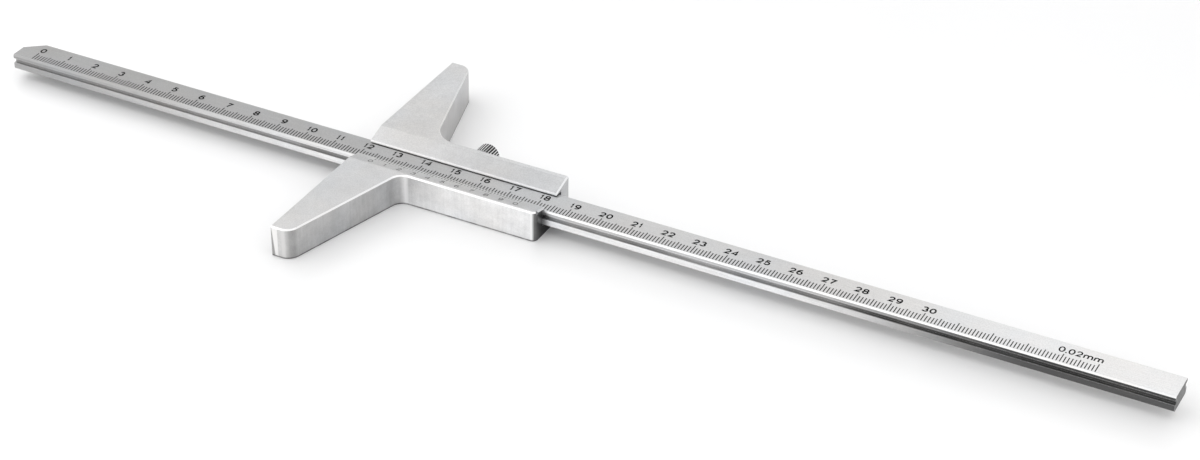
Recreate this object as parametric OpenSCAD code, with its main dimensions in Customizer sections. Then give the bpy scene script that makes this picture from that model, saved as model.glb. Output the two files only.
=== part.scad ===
// Vernier depth gauge: a grooved, graduated beam slides through a T-shaped frame.
// The base's flat face sits on the work, the beam's tip goes down, and a knurled screw
// presses a leaf spring on the beam to hold the reading.
// X runs along the beam towards its blank end, Y across it, Z up from the underside.

/* [Reading] */
// Depth that the gauge reads, from the base's face to the beam's tip
reading = 126.5; // [0:0.02:300]

/* [Beam] */
// Length of the beam
beam_l = 379.5; // [373:0.5:390]
// Width of the beam's scale face
beam_w = 10; // [9.6:0.1:10.4]
// Thickness of the beam
beam_t = 5.2; // [5.1:0.1:5.5]
// Width of the bevel along both edges of the scale face
edge_bevel_w = 0.3; // [0.1:0.05:0.4]
// Height of the bevel along both edges of the scale face
edge_bevel_h = 0.55; // [0.2:0.05:0.7]
// Bevel along both edges of the beam's back
back_bevel = 0.45; // [0.2:0.05:0.6]
// Depth from the scale face to the groove in each narrow side
groove_drop = 1.35; // [1:0.05:1.6]
// Height of the groove in each narrow side
groove_h = 1.5; // [0.8:0.1:1.8]
// Depth of the groove in each narrow side
groove_d = 1; // [0.4:0.1:1.6]
// Length of the cut corner at the beam's tip
tip_cut_l = 6.1; // [2:0.1:7]
// Width of the cut corner at the beam's tip
tip_cut_w = 4.7; // [2:0.1:7]

/* [Base and body] */
// Length of the frame along the beam, from the base's face to the far end
frame_l = 63.3; // [58:0.1:70]
// Span of the base across the beam, from wing tip to wing tip
base_span = 104; // [90:1:120]
// Width of the frame's body around the beam
body_w = 21; // [20.6:0.1:22]
// Height of the near wing and the near wall
near_h = 10; // [9.8:0.1:10.2]
// Height of the far wing and the far wall
far_h = 11.3; // [10.8:0.1:11.8]
// Width of a wing where it ends, measured square to the base's face
wing_tip_w = 6.25; // [5.5:0.25:9]
// Width of a wing where it leaves the body, measured square to the base's face
wing_root_w = 17.85; // [14:0.05:20]
// Radius of each wing tip's outer corner
tip_r = 4; // [2:0.25:5]
// Radius between the near wing and the body
near_fillet_r = 4; // [2:0.5:8]
// Radius between the far wing and the body
far_fillet_r = 9; // [3:0.5:12]
// Radius of the body's near corner at its free end
near_end_r = 1.7; // [0.6:0.1:3]
// Radius of the body's far corner at its free end
far_end_r = 0.8; // [0.5:0.1:3]
// Chamfer along the frame's outer top edges and its free end
edge_chamfer = 0.4; // [0.2:0.05:0.5]
// Broken edge round the frame's underside
under_chamfer = 0.15; // [0.05:0.05:0.3]

/* [Channel, vernier face and lip] */
// Thickness of the frame below the beam
floor_t = 3.3; // [3:0.1:3.4]
// Thickness of the wall along the beam's near side
near_wall_t = 4.6; // [4.2:0.1:4.8]
// Width of the flat land along the near wall's outer edge
near_land_w = 1; // [0.6:0.1:1.6]
// How far the vernier face reaches over the beam's near margin
vernier_overlap = 1.35; // [0.8:0.05:1.6]
// Thickness of the vernier face's inner edge
vernier_edge_t = 0.25; // [0.15:0.05:0.4]
// Width of the flat land along the far wall's outer edge
far_land_w = 1.75; // [1:0.05:2.5]
// How far the far lip reaches over the beam's far margin
lip_overlap = 1.7; // [1:0.05:2]
// Height of the lip's upright edge
lip_edge_h = 0.3; // [0.2:0.05:0.5]
// Chamfer along the lip's edge
lip_chamfer = 0.35; // [0.2:0.05:0.5]
// Relief between the beam's scale face and the lip
lip_relief = 0.25; // [0.1:0.05:0.3]

/* [Leaf spring] */
// Width of the slot for the leaf spring beside the beam
slot_w = 1.2; // [1.1:0.05:1.4]
// Thickness of the leaf spring
leaf_t = 0.4; // [0.3:0.05:0.5]
// Height of the leaf spring
leaf_h = 4.4; // [3:0.1:4.6]
// Length of the leaf spring
leaf_l = 55; // [45:0.5:56]
// How far the leaf spring's bent ends stand out from its back
hook_d = 0.85; // [0.7:0.05:1]
// Depth of the notches that hold the bent ends
notch_d = 0.6; // [0.5:0.05:0.8]

/* [Lock screw] */
// Distance from the base's face to the lock screw's axis
screw_x = 32.4; // [28:0.1:40]
// Diameter of the screw's shank
shank_d = 3; // [2.5:0.1:3.4]
// Diameter of the collar under the head
collar_d = 4.4; // [4:0.1:5.5]
// Length of the collar under the head
collar_l = 1.6; // [0.8:0.1:2]
// Diameter of the knurled head
head_d = 7.1; // [6:0.1:8]
// Length of the knurled head
head_l = 4.4; // [3.5:0.1:8]
// Gap between the body and the head, which leaves the screw room to be driven in
head_gap = 2.8; // [2.4:0.1:3.5]
// Chamfer at both ends of the head
head_chamfer = 0.35; // [0.25:0.05:0.8]
// Number of knurl ridges round the head
knurl_count = 28; // [24:1:48]
// Depth of the knurl
knurl_depth = 0.25; // [0.1:0.05:0.3]

/* [Clearances] */
// Running clearance between the beam and the frame
slide_clearance = 0.05; // [0.03:0.01:0.08]
// Radial clearance of the screw's shank in its hole
bore_clearance = 0.05; // [0.03:0.01:0.08]
// Gap between the leaf spring and the beam while the screw is slack
leaf_gap = 0.3; // [0.26:0.01:0.35]
// Gap between the screw's tip and the leaf spring's back
seat_gap = 0.03; // [0.02:0.01:0.1]

/* [Hidden] */
$fn = 96;
overrun = 1;
steel = [0.74, 0.75, 0.76];
bright_steel = [0.82, 0.83, 0.84];
dark_steel = [0.30, 0.30, 0.32];
bronze = [0.72, 0.52, 0.30];

// Places that follow from the sizes above
half_span = base_span / 2;
half_body = body_w / 2;
face_x = reading - beam_l / 2;
channel_y = near_wall_t - half_body;
beam_near_y = channel_y + slide_clearance;
beam_far_y = beam_near_y + beam_w;
beam_z = floor_t + slide_clearance;
scale_z = beam_z + beam_t;
slot_wall_y = beam_far_y + slot_w;
lip_y = beam_far_y - lip_overlap;
lip_under_z = scale_z + lip_relief;
lip_top_z = lip_under_z + lip_edge_h + lip_chamfer;
vernier_y = beam_near_y + vernier_overlap;
vernier_under_z = scale_z + slide_clearance;
vernier_top_z = vernier_under_z + vernier_edge_t;
near_crease_y = near_land_w - half_body;
far_crease_y = half_body - far_land_w;
screw_z = beam_z + beam_t / 2;
leaf_y = beam_far_y + leaf_gap;
leaf_back_y = leaf_y + leaf_t;
head_y = half_body + head_gap;

// Outline of a wing: the wall that leans in from its root to its tip
lean = atan((wing_root_w - wing_tip_w) / (half_span - half_body));
function wall_x(y) = wing_root_w - (y - half_body) * tan(lean);
tip_centre = [wall_x(half_span - tip_r) - tip_r / cos(lean), half_span - tip_r];
tip_corner = [wing_tip_w, half_span];
function fillet_centre(r) = [wall_x(half_body + r) + r / cos(lean), half_body + r];
function off_wall(centre, r) = centre + r * [cos(lean), sin(lean)];

// The region from a round's centre out past its corner, between the points where it begins
module corner_region(centre, from, corner, to) {
    away = corner - centre;
    polygon([centre, from, from + away, corner + away, to + away, to]);
}

module round_off(centre, r, from, corner, to) {
    difference() {
        corner_region(centre, from, corner, to);
        translate(centre) circle(r = r);
    }
}

// One side of the outline, from the wing tip to the free end, with each fillet's centre
function side_points(fillet_r) = let (centre = fillet_centre(fillet_r)) [
    [0, half_span], tip_corner, off_wall(centre, -fillet_r), centre,
    [centre.x, half_body], [frame_l, half_body]];
function mirrored(points) = [for (i = [len(points) - 1 : -1 : 0]) [points[i].x, -points[i].y]];

module side_rounds(fillet_r, end_r) {
    end_centre = [frame_l - end_r, half_body - end_r];
    translate(fillet_centre(fillet_r)) circle(r = fillet_r);
    round_off(tip_centre, tip_r, [tip_centre.x, half_span], tip_corner,
        off_wall(tip_centre, tip_r));
    round_off(end_centre, end_r, [end_centre.x, half_body], [frame_l, half_body],
        [frame_l, end_centre.y]);
}

module frame_plan() {
    difference() {
        polygon(concat(side_points(far_fillet_r), mirrored(side_points(near_fillet_r))));
        side_rounds(far_fillet_r, far_end_r);
        mirror([0, 1]) side_rounds(near_fillet_r, near_end_r);
    }
}

// The frame seen along the beam, with the open channel, the vernier face and the lip
module frame_section() {
    polygon([
        [-half_span, 0], [half_span, 0], [half_span, far_h], [far_crease_y, far_h],
        [lip_y + lip_chamfer, lip_top_z], [lip_y, lip_top_z - lip_chamfer], [lip_y, lip_under_z],
        [slot_wall_y, lip_under_z], [slot_wall_y, floor_t],
        [channel_y, floor_t], [channel_y, vernier_under_z],
        [vernier_y, vernier_under_z], [vernier_y, vernier_top_z],
        [near_crease_y, near_h], [-half_span, near_h]
    ]);
}

module along_beam(length) {
    rotate([90, 0, 90]) linear_extrude(length) children();
}

// The triangle that a chamfer takes off an edge: outward to +x, upward to +y
module chamfer_section(size) {
    polygon([[-size - overrun, overrun], [overrun, overrun], [overrun, -size - overrun]]);
}

// Chamfer along a straight top edge, with the frame on the left of its direction
module straight_chamfer(size, from, to) {
    run = to - from;
    translate([from.x, from.y, 0]) rotate([0, 0, atan2(run.y, run.x)])
        rotate([90, 0, 90]) linear_extrude(norm(run)) mirror([1, 0]) chamfer_section(size);
}

module hollow_chamfer(size, centre, r) {
    translate([centre.x, centre.y, -size - overrun])
        cylinder(h = size + 2 * overrun, r1 = r - overrun, r2 = r + size + overrun);
}

module round_chamfer(size, centre, r, from, corner, to) {
    difference() {
        translate([0, 0, -size]) linear_extrude(size + overrun)
            corner_region(centre, from, corner, to);
        translate([centre.x, centre.y, -size]) cylinder(h = size, r1 = r, r2 = r - size);
    }
}

// Chamfers round the outer edge of one side, at height zero, for the top face
module side_rim(size, fillet_r, end_r) {
    root_centre = fillet_centre(fillet_r);
    end_centre = [frame_l - end_r, half_body - end_r];
    tip_end = off_wall(tip_centre, tip_r);
    straight_chamfer(size, [tip_centre.x, half_span], [-overrun, half_span]);
    round_chamfer(size, tip_centre, tip_r, [tip_centre.x, half_span], tip_corner, tip_end);
    straight_chamfer(size, off_wall(root_centre, -fillet_r), tip_end);
    hollow_chamfer(size, root_centre, fillet_r);
    straight_chamfer(size, [end_centre.x, half_body], [root_centre.x, half_body]);
    round_chamfer(size, end_centre, end_r, [end_centre.x, half_body], [frame_l, half_body],
        [frame_l, end_centre.y]);
}

// Chamfer across the body's free end, along one stretch of the top of its section
module end_chamfer(size, from, to) {
    run = to - from;
    translate([frame_l, from.x, from.y]) rotate([atan2(run.y, run.x), 0, 0])
        rotate([90, 0, 0]) translate([0, 0, -norm(run)]) linear_extrude(norm(run))
            chamfer_section(size);
}

module frame_chamfers() {
    far_slope = (far_h - lip_top_z) / (far_crease_y - lip_y - lip_chamfer);
    near_slope = (vernier_top_z - near_h) / (vernier_y - near_crease_y);
    lip_start = [lip_y - overrun, lip_top_z - (lip_chamfer + overrun) * far_slope];
    vernier_end = [vernier_y + overrun, vernier_top_z + overrun * near_slope];
    translate([0, 0, far_h]) side_rim(edge_chamfer, far_fillet_r, far_end_r);
    mirror([0, 1, 0]) translate([0, 0, near_h]) side_rim(edge_chamfer, near_fillet_r, near_end_r);
    mirror([0, 0, 1]) {
        side_rim(under_chamfer, far_fillet_r, far_end_r);
        mirror([0, 1, 0]) side_rim(under_chamfer, near_fillet_r, near_end_r);
        end_chamfer(under_chamfer, [near_end_r - half_body, 0], [half_body - far_end_r, 0]);
    }
    end_chamfer(edge_chamfer, lip_start, [far_crease_y, far_h]);
    end_chamfer(edge_chamfer, [far_crease_y, far_h], [half_body - far_end_r, far_h]);
    end_chamfer(edge_chamfer, [near_end_r - half_body, near_h], [near_crease_y, near_h]);
    end_chamfer(edge_chamfer, [near_crease_y, near_h], vernier_end);
}

// Everything round the lock screw's axis is drawn along +Z and turned to +Y
module on_screw_axis(y) {
    translate([face_x + screw_x, y, screw_z]) rotate([-90, 0, 0]) children();
}

module notch(x) {
    translate([x, slot_wall_y - overrun, screw_z - leaf_h / 2 - leaf_gap])
        cube([leaf_t + 2 * leaf_gap, notch_d + overrun, leaf_h + 2 * leaf_gap]);
}

module beam_section() {
    groove_top = beam_t - groove_drop;
    groove_foot = groove_top - groove_h;
    polygon([
        [edge_bevel_w, beam_t], [0, beam_t - edge_bevel_h], [0, groove_top],
        [groove_d, groove_top], [groove_d, groove_foot], [0, groove_foot],
        [0, back_bevel], [back_bevel, 0],
        [beam_w - back_bevel, 0], [beam_w, back_bevel],
        [beam_w, groove_foot], [beam_w - groove_d, groove_foot],
        [beam_w - groove_d, groove_top], [beam_w, groove_top],
        [beam_w, beam_t - edge_bevel_h], [beam_w - edge_bevel_w, beam_t]
    ]);
}

module beam() {
    color(steel)
        translate([-beam_l / 2, beam_near_y, beam_z]) difference() {
            along_beam(beam_l) beam_section();
            translate([0, 0, -overrun]) linear_extrude(beam_t + 2 * overrun)
                polygon([[-overrun, beam_w - tip_cut_w - overrun * tip_cut_w / tip_cut_l],
                    [tip_cut_l + overrun, beam_w + overrun * tip_cut_w / tip_cut_l],
                    [-overrun, beam_w + overrun * tip_cut_w / tip_cut_l]]);
        }
}

module frame() {
    leaf_start = (frame_l - leaf_l) / 2;
    color(bright_steel) difference() {
        translate([face_x, 0, 0]) difference() {
            intersection() {
                linear_extrude(far_h) frame_plan();
                along_beam(frame_l) frame_section();
            }
            frame_chamfers();
            notch(leaf_start - leaf_gap);
            notch(leaf_start + leaf_l - leaf_t - leaf_gap);
        }
        on_screw_axis(slot_wall_y - overrun)
            cylinder(h = half_body - slot_wall_y + 2 * overrun, d = shank_d + 2 * bore_clearance);
    }
}

module leaf_spring() {
    color(bronze)
        translate([face_x + (frame_l - leaf_l) / 2, leaf_y, screw_z - leaf_h / 2])
            linear_extrude(leaf_h) {
                square([leaf_l, leaf_t]);
                square([leaf_t, leaf_t + hook_d]);
                translate([leaf_l - leaf_t, 0]) square([leaf_t, leaf_t + hook_d]);
            }
}

module knurl_outline() {
    ridge_r = head_d / 2;
    polygon([for (i = [0 : 2 * knurl_count - 1])
        let (r = i % 2 == 0 ? ridge_r : ridge_r - knurl_depth, a = (i + 0.5) * 180 / knurl_count)
            [r * cos(a), r * sin(a)]]);
}

// The knurl, cut back at both ends by cones that meet outside it
module knurled_head() {
    end_r = head_d / 2 - head_chamfer;
    intersection() {
        linear_extrude(head_l) knurl_outline();
        rotate_extrude() polygon([
            [0, 0], [end_r, 0], [end_r + head_l / 2, head_l / 2], [end_r, head_l], [0, head_l]
        ]);
    }
}

module lock_screw() {
    tip_y = leaf_back_y + seat_gap;
    color(dark_steel) {
        on_screw_axis(tip_y) cylinder(h = head_y - tip_y, d = shank_d);
        on_screw_axis(head_y - collar_l) cylinder(h = collar_l, d = collar_d);
        on_screw_axis(head_y) knurled_head();
    }
}

beam();
frame();
leaf_spring();
lock_screw();
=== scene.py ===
import math
from collections import namedtuple

import bpy
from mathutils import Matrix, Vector


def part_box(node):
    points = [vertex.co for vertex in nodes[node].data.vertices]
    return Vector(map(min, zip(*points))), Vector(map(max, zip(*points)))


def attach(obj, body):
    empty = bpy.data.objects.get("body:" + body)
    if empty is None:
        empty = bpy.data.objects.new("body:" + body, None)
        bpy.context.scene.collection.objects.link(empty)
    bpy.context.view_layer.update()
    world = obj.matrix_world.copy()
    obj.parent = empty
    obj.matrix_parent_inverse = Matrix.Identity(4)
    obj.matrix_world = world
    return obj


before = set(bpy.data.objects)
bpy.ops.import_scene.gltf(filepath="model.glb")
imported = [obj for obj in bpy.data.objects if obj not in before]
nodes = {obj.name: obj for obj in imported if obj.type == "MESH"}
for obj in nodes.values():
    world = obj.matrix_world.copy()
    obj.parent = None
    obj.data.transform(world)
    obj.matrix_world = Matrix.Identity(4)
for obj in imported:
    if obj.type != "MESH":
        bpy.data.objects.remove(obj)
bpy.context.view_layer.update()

MM = 0.001
scene = bpy.context.scene

# Places on the part, in millimetres, in the frame's axes
BEAM_LOW, BEAM_HIGH = (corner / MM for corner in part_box("beam"))
FRAME_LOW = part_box("frame")[0] / MM
SCREW_LOW, SCREW_HIGH = (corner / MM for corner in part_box("lock_screw"))

FACE_X = FRAME_LOW.x             # the base's measuring face
SCALE_Z = BEAM_HIGH.z            # the beam's graduated face
BEAM_MID_Y = (BEAM_LOW.y + BEAM_HIGH.y) / 2
BEAM_HALF_WIDTH = (BEAM_HIGH.y - BEAM_LOW.y) / 2
GROOVE_DROP = 1.35               # from the scale to the groove in each narrow side
GROOVE_HEIGHT = 1.5
GROOVE_TOP_Z = SCALE_Z - GROOVE_DROP
GROOVE_FOOT_Z = GROOVE_TOP_Z - GROOVE_HEIGHT
SCREW_MID = (SCREW_LOW + SCREW_HIGH) / 2
SHANK_RADIUS = 1.5
COLLAR_RADIUS = 2.2

ZERO_INSET = 6.8                 # from the beam's tip, and from the base's face, to the zero line
SCALE_ZERO = BEAM_LOW.x + ZERO_INSET
SCALE_END = 350
NUMBERS_END = 300
VERNIER_ZERO = FACE_X + ZERO_INSET
VERNIER_STEP = 0.98
VERNIER_LINES = 50
VERNIER_OVERLAP = 1.35           # how far the vernier face reaches over the beam
VERNIER_LIFT = 0.3               # from the scale up to the vernier face's inner edge
VERNIER_EDGE = Vector((0, BEAM_LOW.y + VERNIER_OVERLAP, SCALE_Z + VERNIER_LIFT))
VERNIER_CREST = Vector((0, -9.5, 10.0))    # where the vernier face meets the flat land

# The photograph's camera, solved from the scale's lines and the straight edges
CAMERA_SENSOR = 36.0
CAMERA_LENS = 83.72
CAMERA_PLACE = (0.3234, -0.6006, 0.4477)
CAMERA_TURN = (56.631, -0.588, 27.515)     # degrees about X, Y and Z
CAMERA_CLIP = (0.01, 20.0)


def make_camera():
    data = bpy.data.cameras.new("camera")
    data.sensor_width = CAMERA_SENSOR
    data.sensor_fit = "HORIZONTAL"
    data.lens = CAMERA_LENS
    data.clip_start, data.clip_end = CAMERA_CLIP
    camera = bpy.data.objects.new("camera", data)
    camera.location = CAMERA_PLACE
    camera.rotation_euler = [math.radians(angle) for angle in CAMERA_TURN]
    scene.collection.objects.link(camera)
    scene.camera = camera


# Node helpers

# From start to end the result goes from at_start to at_end, and it keeps those values outside.
Ramp = namedtuple("Ramp", "start end at_start at_end smooth", defaults=(0.0, 1.0, False))
SPREAD = Ramp(0.3, 0.7)          # draws the middle of a noise out to 0 and 1
EDGE = Ramp(0.02, 0.25)          # over 1 less the cosine between a rounded normal and the true one


class Tree:
    """A short way to write a material. A value is a number, a colour or a (node, output) pair."""

    def __init__(self, name):
        self.material = bpy.data.materials.new(name)
        self.material.use_nodes = True
        self.material.node_tree.nodes.clear()
        self.shader = self.add("ShaderNodeBsdfPrincipled")
        self.feed(self.add("ShaderNodeOutputMaterial"), "Surface", (self.shader, "BSDF"))
        place = self.add("ShaderNodeTexCoord")
        self.place = (place, "Object")
        self.normal = (place, "Normal")

    def add(self, kind, **settings):
        node = self.material.node_tree.nodes.new(kind)
        for key, setting in settings.items():
            setattr(node, key, setting)
        return node

    def feed(self, node, socket, value):
        """Links a (node, output) pair to the socket, or sets a number or colour on it."""
        if isinstance(value, tuple) and len(value) == 2:
            source, output = value
            self.material.node_tree.links.new(source.outputs[output], node.inputs[socket])
        else:
            node.inputs[socket].default_value = value

    def surface(self, values):
        """Feeds the shader's sockets by their names."""
        for socket, value in values.items():
            self.feed(self.shader, socket, value)

    def noise(self, cells, detail, rough=0.55, shift=(0, 0, 0)):
        """Noise with so many cells per metre along X, Y and Z."""
        place = self.add("ShaderNodeMapping", vector_type="POINT")
        self.feed(place, "Vector", self.place)
        self.feed(place, "Scale", cells)
        self.feed(place, "Location", shift)
        node = self.add("ShaderNodeTexNoise")
        self.feed(node, "Vector", (place, "Vector"))
        self.feed(node, "Scale", 1.0)
        self.feed(node, "Detail", detail)
        self.feed(node, "Roughness", rough)
        return (node, "Fac")

    def math(self, operation, *values):
        node = self.add("ShaderNodeMath", operation=operation)
        for socket, value in enumerate(values):
            self.feed(node, socket, value)
        return (node, "Value")

    def times(self, first, *others):
        for other in others:
            first = self.math("MULTIPLY", first, other)
        return first

    def without(self, mask):
        return self.math("SUBTRACT", 1.0, mask)

    def size(self, value):
        return self.math("ABSOLUTE", value)

    def vector(self, operation, *values, output="Vector"):
        node = self.add("ShaderNodeVectorMath", operation=operation)
        for socket, value in enumerate(values):
            self.feed(node, socket, value)
        return (node, output)

    def split(self, vector):
        parts = self.add("ShaderNodeSeparateXYZ")
        self.feed(parts, 0, vector)
        return [(parts, axis) for axis in "XYZ"]

    def ramp(self, value, ramp):
        node = self.add("ShaderNodeMapRange")
        node.interpolation_type = "SMOOTHSTEP" if ramp.smooth else "LINEAR"
        self.feed(node, "Value", value)
        self.feed(node, "From Min", ramp.start)
        self.feed(node, "From Max", ramp.end)
        self.feed(node, "To Min", ramp.at_start)
        self.feed(node, "To Max", ramp.at_end)
        return (node, "Result")

    def between(self, factor, first, second):
        """The first value where the factor is 0, the second where it is 1."""
        node = self.add("ShaderNodeMix", data_type="FLOAT")
        for socket, value in ((0, factor), (2, first), (3, second)):
            self.feed(node, socket, value)
        return (node, 0)

    def colour_between(self, factor, first, second):
        node = self.add("ShaderNodeMix", data_type="RGBA", blend_type="MIX")
        for socket, value in ((0, factor), (6, first), (7, second)):
            self.feed(node, socket, value)
        return (node, 2)

    def bump(self, height):
        """The normal that a height in metres gives."""
        node = self.add("ShaderNodeBump")
        self.feed(node, "Height", height)
        self.feed(node, "Distance", 1.0)
        self.feed(node, "Strength", 1.0)
        return (node, "Normal")

    def edges(self, width):
        """0 on flat faces, 1 along edges."""
        rounded = self.add("ShaderNodeBevel", samples=6)
        self.feed(rounded, "Radius", width * MM)
        true = self.add("ShaderNodeNewGeometry")
        cosine = self.vector("DOT_PRODUCT", (rounded, "Normal"), (true, "Normal"), output="Value")
        return self.ramp(self.without(cosine), EDGE)


def even(cells):
    return (cells, cells, cells)


def grey(level):
    return (level, level, level, 1.0)


# Steel finishes

# depth is the height of the bump in metres. A layer is (cells per metre along X, Y and Z, share), where the
# share is how far it lightens and darkens the tone. The first layer is also the bump.
Finish = namedtuple("Finish", "tone rough depth layers")
FINE = even(2700)
# Painted light and shade: the level, side and end finishes of one steel get different tones for the way each
# face looks
BEAM_LEVEL = Finish(0.62, 0.33, 2.0e-6, [(FINE, 0.09), ((30, 2400, 2400), 0.03), (even(60), 0.03)])
BEAM_SIDE = Finish(0.94, 0.32, 1.5e-6, [((35, 3200, 3200), 0.07), ((120, 900, 900), 0.06), (FINE, 0.04)])
BEAM_END = Finish(0.20, 0.32, 2.5e-6, [((500, 500, 3200), 0.12), (FINE, 0.10)])
FRAME_LEVEL = Finish(0.69, 0.33, 2.5e-6, [(FINE, 0.09), (even(70), 0.04), (even(420), 0.03)])
FRAME_SIDE = Finish(0.85, 0.36, 2.5e-6, [(FINE, 0.05), ((160, 160, 260), 0.07), ((900, 900, 60), 0.04)])
FRAME_END = Finish(0.50, 0.33, 2.5e-6, [(FINE, 0.06), (even(200), 0.10), ((1100, 1100, 60), 0.05)])
SCREW_ALL = Finish(0.42, 0.34, 1.5e-6, [((2600, 300, 2600), 0.12), (FINE, 0.08)])
GRAIN_TO_ROUGH = 0.3             # how much of the grain's share also goes to the roughness
WORN_EDGE_WIDTH = 0.25
SCREW_EDGE_WIDTH = 0.10
WORN_EDGE_LIFT = 0.14            # how much lighter a worn edge is than a level face
WORN_EDGE_POLISH = 0.02          # and how much less rough
WORN_PITS = Ramp(0.35, 0.6, 0.35, 1.0)
TINT_SPREAD = Ramp(0.35, 0.65)
WARM, COOL = (1.0, 0.987, 0.975, 1.0), (0.975, 0.985, 1.0, 1.0)
BEVEL_RISE = 0.479               # the Z of the normal on the beam's edge bevels
CHAMFER_RISE = 0.707             # and on the frame's chamfers
# Masks for the way a face looks, each over a part of its normal
LEVEL = Ramp(0.45, 0.75, smooth=True)
END = Ramp(0.25, 0.7, smooth=True)
BARREL = Ramp(0.5, 0.8, 1.0, 0.0)
NEAR_RISE = Ramp(0.05, 0.11, 1.0, 0.0)
OUTER = Ramp(0.4, 0.6)
OUTSIDE = Ramp(3.6, 4.0)         # over the distance from Y 0, in millimetres


def finish(tree, spec, seed):
    """One finish as (tone, roughness, height). Each seed and each layer reads the noise at another place."""
    shade, height = 0.0, None
    for i, (cells, amount) in enumerate(spec.layers):
        grain = tree.noise(cells, detail=3.0, rough=0.6, shift=(seed + 0.37 * i, 0.61 * i, 0.13))
        height = height or tree.math("MULTIPLY", grain, spec.depth)
        shade = tree.math("ADD", shade, tree.ramp(grain, Ramp(0.33, 0.67, -amount, amount)))
    tone = tree.math("MULTIPLY_ADD", shade, spec.tone, spec.tone)
    rough = tree.math("MULTIPLY_ADD", shade, GRAIN_TO_ROUGH, spec.rough)
    return tone, rough, height


class Faces:
    """Where a point is, in millimetres, and which way its face looks."""

    def __init__(self, tree, chamfer_rise):
        self.spot = tree.vector("MULTIPLY", tree.place, even(1 / MM))
        self.x, self.y, self.z = tree.split(self.spot)
        lean_x, self.lean_y, rise = tree.split(tree.normal)
        self.along = tree.size(lean_x)
        self.across = tree.size(self.lean_y)
        self.level = tree.ramp(tree.size(rise), LEVEL)
        self.upright = tree.without(self.level)
        self.end = tree.ramp(self.along, END)
        self.barrel = tree.ramp(self.across, BARREL)
        at_rise = tree.ramp(tree.size(tree.math("SUBTRACT", rise, chamfer_rise)), NEAR_RISE)
        outside = tree.ramp(tree.size(self.y), OUTSIDE)
        self.chamfer = tree.times(at_rise, tree.ramp(tree.math("MAXIMUM", self.along, outside), OUTER))


def steel(name, level, side, end, painted_light_and_marks, chamfer_rise=CHAMFER_RISE, edge_width=WORN_EDGE_WIDTH):
    """Satin steel: one finish on level faces, one on the faces along the beam and one on those across it,
    with tones set apart as painted light and shade, then the piece's painted light and shade and its marks,
    and the lighter edges."""
    tree = Tree(name)
    faces = Faces(tree, chamfer_rise)
    looks = [finish(tree, spec, 3 * i) for i, spec in enumerate((side, end, level))]
    tone, rough, height = (
        tree.between(faces.level, tree.between(faces.end, on_side, on_end), on_level)
        for on_side, on_end, on_level in zip(*looks))
    tone = painted_light_and_marks(tree, faces, tone)
    pits = tree.noise(even(2200), detail=3.0, rough=0.65)
    worn = tree.times(tree.edges(edge_width), tree.ramp(pits, WORN_PITS))
    tone = tree.between(worn, tone, level.tone + WORN_EDGE_LIFT)
    cloud = tree.noise(even(45), detail=2.0, shift=(0.3, 0.9, 0.2))
    tint = tree.colour_between(tree.ramp(cloud, TINT_SPREAD), WARM, COOL)
    tree.surface({
        "Base Color": tree.colour_between(tone, grey(0.0), tint),
        "Metallic": 1.0,
        "Roughness": tree.math("SUBTRACT", rough, tree.math("MULTIPLY", worn, WORN_EDGE_POLISH)),
        "Normal": tree.bump(height),
    })
    return tree.material


# Painted light and shade on the beam, over X unless a comment says otherwise
# Painted highlight on the chamfers and bevels, and on the rounds' run-outs
CHAMFER_HIGHLIGHT = 0.97
# Painted shade on the top towards the tip and painted light towards the blank end, painted shade on the sides
# towards the tip
TOP_SHADE_TO_TIP = Ramp(BEAM_LOW.x, 50, 0.58, 1.0)
TOP_LIGHT_TO_BLANK_END = Ramp(80, 150, 1.0, 1.1)
SIDE_SHADE_TO_TIP = Ramp(BEAM_LOW.x, -50, 0.44, 1.0, smooth=True)
# Painted shade: the sides turn near black towards the blank end
BLANK_END_SIDE_SHADE = Ramp(70, 150, 0.0, 0.93, smooth=True)
BLANK_END_SIDE_SHADE_TONE = 0.05
GROOVE_DEPTH = Ramp(BEAM_HALF_WIDTH - 0.6, BEAM_HALF_WIDTH - 0.1, 1.0, 0.0)    # over Y, from mid beam
# Painted shade in the grooves of the narrow sides, broken by noise and darker towards the blank end
GROOVE_SHADE_LOW_Z = GROOVE_FOOT_Z - 0.15
GROOVE_SHADE_HIGH_Z = GROOVE_TOP_Z + 0.05
GROOVE_SHADE_BREAKS = Ramp(0.35, 0.6, 0.6, 1.0)             # over noise
GROOVE_SHADE_TONE = Ramp(75, 110, 0.40, 0.12)
# Painted shade on the upper flange, deeper towards the blank end
UPPER_FLANGE = Ramp(GROOVE_SHADE_HIGH_Z, GROOVE_SHADE_HIGH_Z + 0.1)              # over Z
UPPER_FLANGE_SHADE = Ramp(-60, 0, 0.88, 0.62)
# Painted highlight on the bevels, dimmer towards the tip
BEVEL_HIGHLIGHT = Ramp(-140, -30, 0.46, CHAMFER_HIGHLIGHT)


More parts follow.
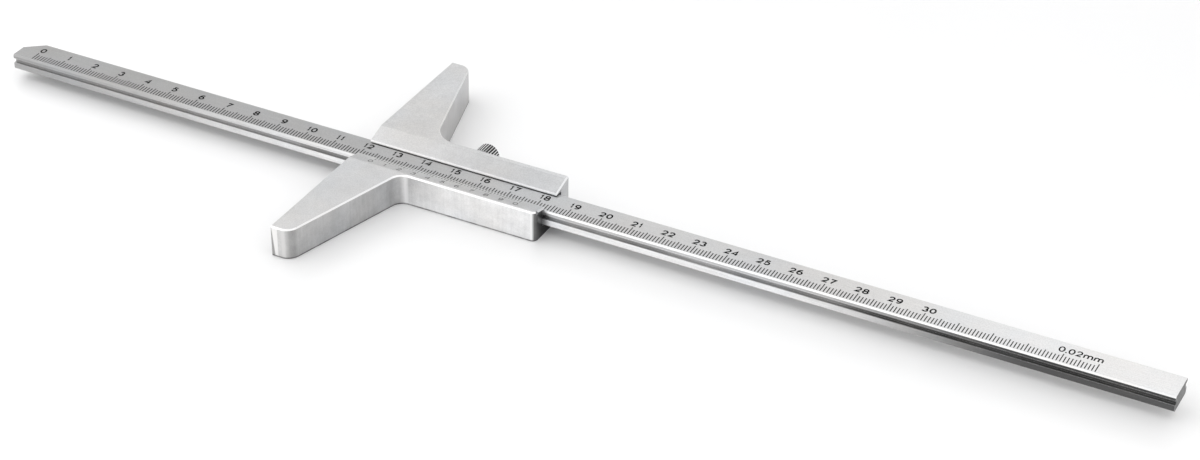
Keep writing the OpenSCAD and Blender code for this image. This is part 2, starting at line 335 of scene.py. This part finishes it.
def beam_painted_light(tree, faces, tone):
    """Painted shade on the top towards the tip and painted light towards the blank end, painted shade on the
    sides towards the tip and, near black, towards the blank end, painted shade in the grooves and on the
    upper flange, and painted highlights on the bevels."""
    # Painted shade on the top towards the tip and painted light towards the blank end; painted shade on the
    # sides towards the tip
    top = tree.times(tone, tree.ramp(faces.x, TOP_SHADE_TO_TIP), tree.ramp(faces.x, TOP_LIGHT_TO_BLANK_END))
    side = tree.times(tone, tree.ramp(faces.x, SIDE_SHADE_TO_TIP))
    tone = tree.between(faces.upright, top, side)
    # Painted shade on the sides towards the blank end
    side_shade = tree.times(tree.ramp(faces.x, BLANK_END_SIDE_SHADE), faces.upright)
    tone = tree.between(side_shade, tone, BLANK_END_SIDE_SHADE_TONE)

    # Painted shade in the grooves
    from_mid = tree.size(tree.math("SUBTRACT", faces.y, BEAM_MID_Y))
    over_foot = tree.math("GREATER_THAN", faces.z, GROOVE_SHADE_LOW_Z)
    under_top = tree.math("LESS_THAN", faces.z, GROOVE_SHADE_HIGH_Z)
    in_groove = tree.times(tree.ramp(from_mid, GROOVE_DEPTH), over_foot, under_top, tree.without(faces.end))
    breaks = tree.ramp(tree.noise((60, 900, 900), detail=3.0), GROOVE_SHADE_BREAKS)
    tone = tree.between(tree.times(in_groove, breaks), tone, tree.ramp(faces.x, GROOVE_SHADE_TONE))

    # Painted shade on the upper flange
    upper_flange = tree.times(faces.upright, tree.ramp(faces.z, UPPER_FLANGE))
    tone = tree.times(tone, tree.between(upper_flange, 1.0, tree.ramp(faces.x, UPPER_FLANGE_SHADE)))
    # Painted highlight on the bevels
    return tree.between(faces.chamfer, tone, tree.ramp(faces.x, BEVEL_HIGHLIGHT))


# Painted light and shade on the frame, and its ground wing tip
# Painted shade on the far slope and painted light on the vernier face, by the way each slope looks
FAR_SLOPE_SHADE = Ramp(-0.18, -0.06, 0.89, 1.0)                  # over the normal's Y
VERNIER_SLOPE_LIGHT = Ramp(0.10, 0.20, 1.0, 1.13)                # over the normal's Y
# Painted highlight where each round runs out into an upright face
ROUND_STARTS = Ramp(0.04, 0.14, smooth=True)               # over the normal's X
ROUND_TURNS = Ramp(0.24, 0.40, 1.0, 0.0, smooth=True)      # over the normal's X
RUN_OUT_GLINT_SHARE = 0.85
WING_TIP = Ramp(FRAME_LOW.y + 2, FRAME_LOW.y + 3, 1.0, 0.0)            # over Y
WING_TIP_SHADE = 0.75
GROUND_FACET = Ramp(2.0, 2.2, 1.0, 0.0)                    # over the distance from the base's face
GROUND_TONE = Ramp(1.05, 1.22, 0.38, 0.90)                 # over that distance, leaning with Z
GROUND_LEAN = 0.1
# Painted shade: a dark band along the foot of the upright faces, and dark end faces round the channel's mouth
FOOT = Ramp(0.30, 0.62, 1.0, 0.0)                          # over Z
FOOT_SHARE = 0.92
FOOT_SHADE_BREAKS = Ramp(0.3, 0.6, 0.55, 1.0)                    # over noise
MOUTH = Ramp(-1.2, -0.5)                                   # over X
MOUTH_NEAR_SIDE = Ramp(-9.8, -6.6, 0.70, 0.97)             # over Y
MOUTH_FAR_SIDE = Ramp(2, 6, 1.0, 0.0)                      # over Y
FRAME_SHADE_TONE = 0.025


def frame_painted_light_and_ground_tip(tree, faces, tone):
    """Painted shade on the far slope and painted light on the vernier face, painted highlights where the
    rounds run out, a wing tip ground beside the base's face, painted shade at the foot and round the
    channel's mouth, and painted highlights on the chamfers."""
    # Painted shade and painted light on the slopes
    for slope in (FAR_SLOPE_SHADE, VERNIER_SLOPE_LIGHT):
        tone = tree.times(tone, tree.between(faces.level, 1.0, tree.ramp(faces.lean_y, slope)))
    # Painted highlight on the rounds' run-outs
    into_round = tree.times(tree.ramp(faces.along, ROUND_STARTS), tree.ramp(faces.along, ROUND_TURNS))
    run_out_glint = tree.times(into_round, faces.upright, RUN_OUT_GLINT_SHARE)
    tone = tree.between(run_out_glint, tone, CHAMFER_HIGHLIGHT)

    from_face = tree.math("SUBTRACT", faces.x, FACE_X)
    tip = tree.times(tree.ramp(faces.y, WING_TIP), faces.upright)
    tone = tree.times(tone, tree.between(tip, 1.0, WING_TIP_SHADE))
    ground = tree.times(tip, tree.ramp(from_face, GROUND_FACET))
    leaning = tree.math("MULTIPLY_ADD", faces.z, GROUND_LEAN, from_face)
    tone = tree.between(ground, tone, tree.ramp(leaning, GROUND_TONE))

    # Painted shade at the foot and round the channel's mouth, broken by noise at the foot
    rubbed_ink_and_shade_gaps = tree.ramp(tree.noise(even(500), detail=3.0), FOOT_SHADE_BREAKS)
    foot = tree.times(tree.ramp(faces.z, FOOT), faces.upright, rubbed_ink_and_shade_gaps, FOOT_SHARE)
    by_channel = tree.times(tree.ramp(faces.y, MOUTH_FAR_SIDE), tree.ramp(faces.y, MOUTH_NEAR_SIDE))
    mouth = tree.times(tree.ramp(faces.x, MOUTH), faces.end, faces.upright, by_channel)
    tone = tree.between(tree.math("MAXIMUM", foot, mouth), tone, FRAME_SHADE_TONE)
    # Painted highlight on the chamfers
    return tree.between(faces.chamfer, tone, CHAMFER_HIGHLIGHT)


# Marks of the screw, with painted shade and painted highlights
TURNING_FEED = 0.22              # between the turning marks on the end faces
TURNING_SHARE = 0.10
THREAD_PITCH = 0.5
THREAD_CUT = Ramp(-0.3, 0.6)     # over the sine of the helix
# Painted shade along the turns of the thread
THREAD_SHADE_TONE = 0.06
SHANK = Ramp(SHANK_RADIUS + 0.02, SHANK_RADIUS + 0.06, 1.0, 0.0)       # over the radius
HEAD = Ramp(COLLAR_RADIUS + 0.1, COLLAR_RADIUS + 0.4)                  # over the radius
# Painted shade in the knurl's grooves and painted highlight on its ridges
KNURL_SHADE_AND_HIGHLIGHT = Ramp(3.42, 3.49, 0.012, 0.78, smooth=True)                # over the radius


def screw_marks_and_painted_light(tree, faces, tone):
    """Turning marks on the end faces, turns of thread on the shank in painted shade, and painted highlights
    on the knurl's ridges with painted shade in its grooves."""
    off_axis = (-SCREW_MID.x, 0, -SCREW_MID.z)
    spoke = tree.vector("MULTIPLY_ADD", faces.spot, (1, 0, 1), off_axis)
    radius = tree.vector("LENGTH", spoke, output="Value")
    turning = tree.math("SINE", tree.math("MULTIPLY", radius, math.tau / TURNING_FEED))
    tone = tree.times(tone, tree.math("MULTIPLY_ADD", tree.times(turning, faces.across), TURNING_SHARE, 1.0))

    x, _, z = tree.split(spoke)
    angle = tree.math("ARCTAN2", z, x)
    helix = tree.math("SINE", tree.math("MULTIPLY_ADD", faces.y, math.tau / THREAD_PITCH, angle))
    # Painted shade along the thread's turns
    shank = tree.times(tree.ramp(radius, SHANK), faces.barrel)
    tone = tree.between(tree.times(shank, tree.ramp(helix, THREAD_CUT)), tone, THREAD_SHADE_TONE)

    # Painted highlights on the knurl's ridges and painted shade in its grooves
    head = tree.times(faces.barrel, tree.ramp(radius, HEAD))
    return tree.between(head, tone, tree.ramp(radius, KNURL_SHADE_AND_HIGHLIGHT))


# Other materials
BRONZE_DARK, BRONZE_LIGHT = (0.58, 0.38, 0.20, 1.0), (0.72, 0.50, 0.28, 1.0)
BRONZE_ROUGH = Ramp(0.3, 0.7, 0.28, 0.42)
BRONZE_DEPTH = 1.5e-6            # of the rolling lines, in metres
INK_RUBBED = Ramp(0.55, 0.8)
INK_ROUGH = Ramp(0.3, 0.7, 0.7, 0.9)
INK_DEPTH = 3e-6
SCALE_INK = (0.006, 0.03)        # tones of full and of rubbed ink
VERNIER_INK = (0.12, 0.22)


def bronze(name):
    """Rolled spring strip."""
    tree = Tree(name)
    lines = tree.noise((120, 5000, 5000), detail=5.0, rough=0.7)
    cloud = tree.noise(even(300), detail=3.0)
    tree.surface({
        "Base Color": tree.colour_between(tree.ramp(cloud, SPREAD), BRONZE_DARK, BRONZE_LIGHT),
        "Metallic": 1.0,
        "Roughness": tree.ramp(lines, BRONZE_ROUGH),
        "Normal": tree.bump(tree.math("MULTIPLY", lines, BRONZE_DEPTH)),
    })
    return tree.material


def ink(name, full, rubbed_ink_and_shade_gaps):
    """Matt fill in the engraved lines, thinner where it has rubbed away."""
    tree = Tree(name)
    rub = tree.noise(even(1500), detail=4.0, rough=0.7)
    tree.surface({
        "Base Color": tree.colour_between(tree.ramp(rub, INK_RUBBED), grey(full), grey(rubbed_ink_and_shade_gaps)),
        "Roughness": tree.ramp(rub, INK_ROUGH),
        "Specular IOR Level": 0.12,
        "Normal": tree.bump(tree.math("MULTIPLY", rub, INK_DEPTH)),
    })
    return tree.material


def dress_nodes():
    """Gives each CAD node its material."""
    materials = {
        "beam": steel("beam_satin_steel", BEAM_LEVEL, BEAM_SIDE, BEAM_END, beam_painted_light,
                      chamfer_rise=BEVEL_RISE),
        "frame": steel("frame_satin_steel", FRAME_LEVEL, FRAME_SIDE, FRAME_END, frame_painted_light_and_ground_tip),
        "lock_screw": steel("screw_steel", SCREW_ALL, SCREW_ALL, SCREW_ALL, screw_marks_and_painted_light,
                            edge_width=SCREW_EDGE_WIDTH),
        "leaf_spring": bronze("leaf_bronze"),
    }
    for node, material in materials.items():
        mesh = nodes[node].data
        mesh.materials.clear()
        mesh.materials.append(material)
        for polygon in mesh.polygons:
            polygon.material_index = 0


# Engraved marks, in millimetres: up is +Y on the scale, and towards the beam on the vernier's slope
MARK_PROUD = 0.012
MARK_SUNK = 0.01
MITRE_LEAST, MITRE_MOST = 0.4, 1.8
# low and height: where a numeral's foot is and how tall it is. width: a numeral's width over its height. gap:
# between two letters. stroke: the width of a line.
Letters = namedtuple("Letters", "low height width gap stroke")
SCALE_LETTERS = Letters(low=-0.82, height=2.5, width=0.78, gap=0.26, stroke=0.50)
PRECISION_LETTERS = Letters(low=-0.90, height=2.6, width=0.71, gap=0.28, stroke=0.44)
VERNIER_LETTERS = Letters(low=-4.35, height=1.8, width=0.86, gap=0.28, stroke=0.24)
SCALE_NUMERAL_SHIFT = 0.4        # how far right of their lines the numerals stand
VERNIER_NUMERAL_SHIFT = -0.45
PRECISION_X = 161.3              # the middle of the precision lettering
SCALE_TICK_WIDTH = 0.30
SCALE_TICK_FOOT = BEAM_LOW.y + 0.6
SCALE_TICK_TOPS = {10: -1.5, 5: -1.95, 1: -2.45}           # of every tenth, every fifth and every line
VERNIER_TICK_WIDTH = 0.18
VERNIER_TICK_TOP = -0.03
VERNIER_TICK_FEET = {5: -1.9, 1: -1.35}


class Plane:
    """A flat face that marks lie on."""

    def __init__(self, origin, up):
        self.origin = Vector(origin)
        self.along = Vector((1, 0, 0))
        self.up = Vector(up).normalized()
        self.out = self.along.cross(self.up)

    def at(self, along, up, out):
        """A place in metres, from how far it is along, up and out of the face in millimetres."""
        return (self.origin + self.along * along + self.up * up + self.out * out) * MM


class Marks:
    """Collects thin strokes on a plane into one mesh."""

    def __init__(self, plane):
        self.plane = plane
        self.verts, self.faces = [], []

    def stroke(self, points, width, closed=False):
        """A ribbon of even width along the points, with mitred turns and square ends."""
        points = [Vector(point) for point in points]
        count = len(points)
        base = len(self.verts)
        for i, point in enumerate(points):
            before = points[i - 1] if (i or closed) else None
            after = points[(i + 1) % count] if (i < count - 1 or closed) else None
            into = (point - before).normalized() if before else None
            out_of = (after - point).normalized() if after else None
            side = mitre(into or out_of, out_of or into) * width / 2
            left, right = point + side, point - side
            for height in (MARK_PROUD, -MARK_SUNK):
                self.verts += [self.plane.at(*left, height), self.plane.at(*right, height)]
        for i in range(count if closed else count - 1):
            a, b = base + 4 * i, base + 4 * ((i + 1) % count)
            self.faces += [(a, a + 1, b + 1, b), (a + 2, a, b, b + 2), (a + 1, a + 3, b + 3, b + 1)]
        if not closed:
            a, b = base, base + 4 * (count - 1)
            self.faces += [(a, a + 2, a + 3, a + 1), (b, b + 1, b + 3, b + 2)]

    def text(self, words, centre, letters):
        widths = [GLYPHS[letter][0] * letters.width * letters.height for letter in words]
        x = centre - (sum(widths) + letters.gap * (len(words) - 1)) / 2
        low = letters.low + letters.stroke / 2
        high = letters.height - letters.stroke
        for letter, width in zip(words, widths):
            left = x + letters.stroke / 2
            wide = width - letters.stroke
            for points, closed in GLYPHS[letter][1]:
                placed = [(left + right * wide, low + up * high) for right, up in points]
                self.stroke(placed, letters.stroke, closed)
            x += width + letters.gap

    def make(self, name, material, body, slot):
        mesh = bpy.data.meshes.new(name)
        mesh.from_pydata(self.verts, [], self.faces)
        mesh.validate()
        mesh.update()
        mesh.materials.append(material)
        ob = bpy.data.objects.new(name, mesh)
        scene.collection.objects.link(ob)
        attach(ob, body)


def mitre(into, out_of):
    """From a line of half width 1 to its left edge, where the line turns."""
    square = Vector((-into.y, into.x))
    side = Vector((-(into.y + out_of.y), into.x + out_of.x))
    side = side.normalized() if side.length > 1e-6 else square
    return side * min(1 / max(side.dot(square), MITRE_LEAST), MITRE_MOST)


def arc(x, y, half_width, half_height, start, end, steps):
    """Points on an ellipse, in degrees from the right, anticlockwise."""
    angles = [math.radians(start + (end - start) * i / steps) for i in range(steps + 1)]
    return [(x + half_width * math.cos(angle), y + half_height * math.sin(angle)) for angle in angles]


def ring(x, y, half_width, half_height, steps=26):
    return arc(x, y, half_width, half_height, 0, 360 - 360 / steps, steps - 1)


# Each glyph: its width over a numeral's, and its strokes as (points in a unit box, closed)
GLYPHS = {
    "0": (1.0, [(ring(0.5, 0.5, 0.5, 0.5), True)]),
    "1": (0.62, [([(0.10, 0.76), (0.34, 0.82), (0.52, 0.92), (0.60, 1.0), (0.60, 0.0)], False)]),
    "2": (1.0, [(arc(0.48, 0.70, 0.46, 0.30, 172, -28, 12)
                 + [(0.70, 0.40), (0.30, 0.20), (0.06, 0.0), (1.0, 0.0)], False)]),
    "3": (1.0, [(arc(0.46, 0.745, 0.42, 0.255, 160, -78, 12), False),
                (arc(0.46, 0.27, 0.50, 0.27, 80, -158, 14), False)]),
    "4": (1.05, [([(0.74, 0.0), (0.74, 1.0), (0.0, 0.27), (1.0, 0.27)], False)]),
    "5": (1.0, [([(0.90, 1.0), (0.22, 1.0), (0.10, 0.50)]
                 + arc(0.46, 0.33, 0.50, 0.33, 140, -155, 15), False)]),
    "6": (1.0, [(ring(0.5, 0.31, 0.48, 0.31), True), (arc(0.62, 0.40, 0.60, 0.60, 66, 184, 12), False)]),
    "7": (1.0, [([(0.02, 1.0), (0.98, 1.0), (0.60, 0.52), (0.42, 0.22), (0.36, 0.0)], False)]),
    "8": (1.0, [(ring(0.5, 0.76, 0.42, 0.24), True), (ring(0.5, 0.26, 0.5, 0.26), True)]),
    "9": (1.0, [(ring(0.5, 0.69, 0.48, 0.31), True), (arc(0.38, 0.60, 0.60, 0.60, 246, 364, 12), False)]),
    ".": (0.22, [([(0.5, -0.08), (0.5, 0.12)], False)]),
    "m": (1.45, [([(0.0, 0.0), (0.0, 0.72)], False),
                 ([(0.0, 0.48)] + arc(0.25, 0.48, 0.25, 0.24, 150, 0, 8) + [(0.5, 0.0)], False),
                 ([(0.5, 0.48)] + arc(0.75, 0.48, 0.25, 0.24, 150, 0, 8) + [(1.0, 0.0)], False)]),
}


def by_step(lengths, value):
    """What is kept for the largest step that the value is a multiple of."""
    return next(length for step, length in lengths.items() if value % step == 0)


def make_scale_marks():
    scale_ink = ink("scale_ink", *SCALE_INK)
    face = Plane((0, 0, SCALE_Z), (0, 1, 0))
    lines, figures, reading = Marks(face), Marks(face), Marks(face)
    for value in range(SCALE_END + 1):
        x = SCALE_ZERO + value
        lines.stroke([(x, SCALE_TICK_FOOT), (x, by_step(SCALE_TICK_TOPS, value))], SCALE_TICK_WIDTH)
        if value % 10 == 0 and value <= NUMBERS_END:
            figures.text(str(value // 10), x + SCALE_NUMERAL_SHIFT, SCALE_LETTERS)
    reading.text("0.02mm", PRECISION_X, PRECISION_LETTERS)
    lines.make("beam_graduations", scale_ink, "beam", "beam_steel")
    figures.make("beam_numerals", scale_ink, "beam", "beam_steel")
    reading.make("beam_precision_mark", scale_ink, "beam", "beam_steel")


def make_vernier_marks():
    vernier_ink = ink("vernier_ink", *VERNIER_INK)
    slope = Plane(VERNIER_EDGE, VERNIER_EDGE - VERNIER_CREST)
    lines, figures = Marks(slope), Marks(slope)
    for i in range(VERNIER_LINES + 1):
        x = VERNIER_ZERO + i * VERNIER_STEP
        lines.stroke([(x, VERNIER_TICK_TOP), (x, by_step(VERNIER_TICK_FEET, i))], VERNIER_TICK_WIDTH)
        if i % 5 == 0:
            figures.text(str(i // 5 % 10), x + VERNIER_NUMERAL_SHIFT, VERNIER_LETTERS)
    lines.make("vernier_graduations", vernier_ink, "frame", "frame_steel")
    figures.make("vernier_numerals", vernier_ink, "frame", "frame_steel")


# Stage and light, in metres and degrees
FLOOR_HALF = 3.0
FLOOR_Z = -0.02 * MM
FLOOR_COOL, FLOOR_PLAIN = (0.885, 0.885, 0.89, 1.0), grey(0.90)
FLOOR_ROUGH = 0.35
WORLD_STRENGTH = 0.5
PANEL_TARGET = Vector((0, 0, 0.005))
# Rings of light panels: elevation, distance, width and height, then the brightness at each azimuth
PANEL_RINGS = [
    (88, 1.40, 0.80, 0.80, {0: 0.35}),
    (60, 1.25, 0.75, 0.55, {0: 0.5, 50: 0.5, 90: 0.5, 130: 0.35, 180: 0.4, 240: 1.1, 300: 0.5}),
    (31, 1.25, 0.38, 0.42, {75: 1.5, 92: 1.05, 109: 0.6, 126: 0.45, 143: 0.4, 160: 0.9}),
    (30, 1.25, 0.55, 0.55, {30: 0.4, 55: 0.45}),
    (30, 1.25, 0.66, 0.60, {185: 0.45, 215: 0.6, 245: 0.95, 275: 0.45, 305: 0.45, 335: 0.45, 0: 0.45}),
    (9, 1.25, 0.32, 0.26, {205: 0.45, 228: 0.45, 242: 0.4, 256: 0.4, 270: 0.45, 290: 0.45, 315: 0.45}),
    (35, 0.45, 0.22, 0.22, {165: 1.2, 200: 1.1, 345: 0.8}),
]


def make_stage():
    mesh = bpy.data.meshes.new("floor")
    corners = [(x * FLOOR_HALF, y * FLOOR_HALF, FLOOR_Z) for x, y in ((-1, -1), (1, -1), (1, 1), (-1, 1))]
    mesh.from_pydata(corners, [], [(0, 1, 2, 3)])
    floor = bpy.data.objects.new("floor", mesh)
    scene.collection.objects.link(floor)
    tree = Tree("floor_paper")
    cloud = tree.noise(even(9), detail=3.0)
    tree.surface({
        "Base Color": tree.colour_between(tree.ramp(cloud, SPREAD), FLOOR_COOL, FLOOR_PLAIN),
        "Roughness": FLOOR_ROUGH,
    })
    mesh.materials.append(tree.material)


def panel(elevation, azimuth, distance, width, height, brightness):
    """A panel that faces the target. Azimuth runs from +X towards +Y."""
    data = bpy.data.lights.new("panel_%d_%d" % (elevation, azimuth), "AREA")
    data.shape = "RECTANGLE"
    data.size, data.size_y = width, height
    data.energy = math.pi * width * height * brightness
    lamp = bpy.data.objects.new(data.name, data)
    scene.collection.objects.link(lamp)
    turn, lift = math.radians(azimuth), math.radians(elevation)
    outward = Vector((math.cos(turn) * math.cos(lift), math.sin(turn) * math.cos(lift), math.sin(lift)))
    lamp.location = PANEL_TARGET + outward * distance
    lamp.rotation_euler = outward.to_track_quat("Z", "Y").to_euler()


def make_light():
    world = bpy.data.worlds.new("studio")
    scene.world = world
    world.use_nodes = True
    background = world.node_tree.nodes["Background"]
    background.inputs["Color"].default_value = grey(1.0)
    background.inputs["Strength"].default_value = WORLD_STRENGTH
    for elevation, distance, width, height, panels in PANEL_RINGS:
        for azimuth, brightness in panels.items():
            panel(elevation, azimuth, distance, width, height, brightness)
    scene.view_settings.view_transform = "Standard"
    scene.view_settings.look = "None"


def main():
    make_camera()
    dress_nodes()
    make_scale_marks()
    make_vernier_marks()
    make_stage()
    make_light()


main()
